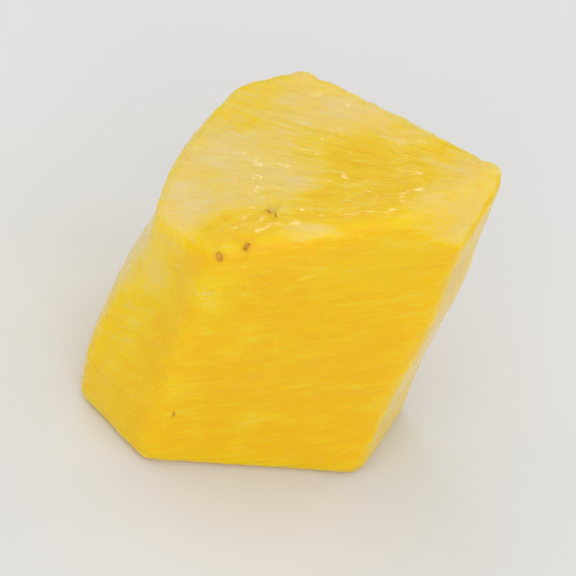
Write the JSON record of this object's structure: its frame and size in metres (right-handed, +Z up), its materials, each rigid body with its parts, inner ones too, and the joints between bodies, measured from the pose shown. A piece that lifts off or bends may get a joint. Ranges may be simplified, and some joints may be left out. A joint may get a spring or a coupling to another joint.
{
  "type": "pineapple chunk",
  "caption": "Wedge-shaped chunk of fresh peeled and cored pineapple: pale fibrous cross cuts, smooth knife-cut sides, a rounded peel side and a narrow core side.",
  "frame": {"origin": "middle of the chunk's box on the flat cut it rests on", "axes": "+X from the peel side to the core side, along the fruit's radius; +Y to the back knife cut; +Z up, along the fruit's own axis"},
  "size_m": [0.0264, 0.0238, 0.0303],
  "materials": {
    "pineapple_flesh": "moist, translucent fruit flesh, from cream to deep golden yellow, with radial fibres and a wet gloss",
    "eye_specks": "small brown remains of the fruit's eyes in the flesh"
  },
  "bodies": {
    "root": {"pineapple_chunk": "pineapple_flesh"}
  },
  "joints": []
}
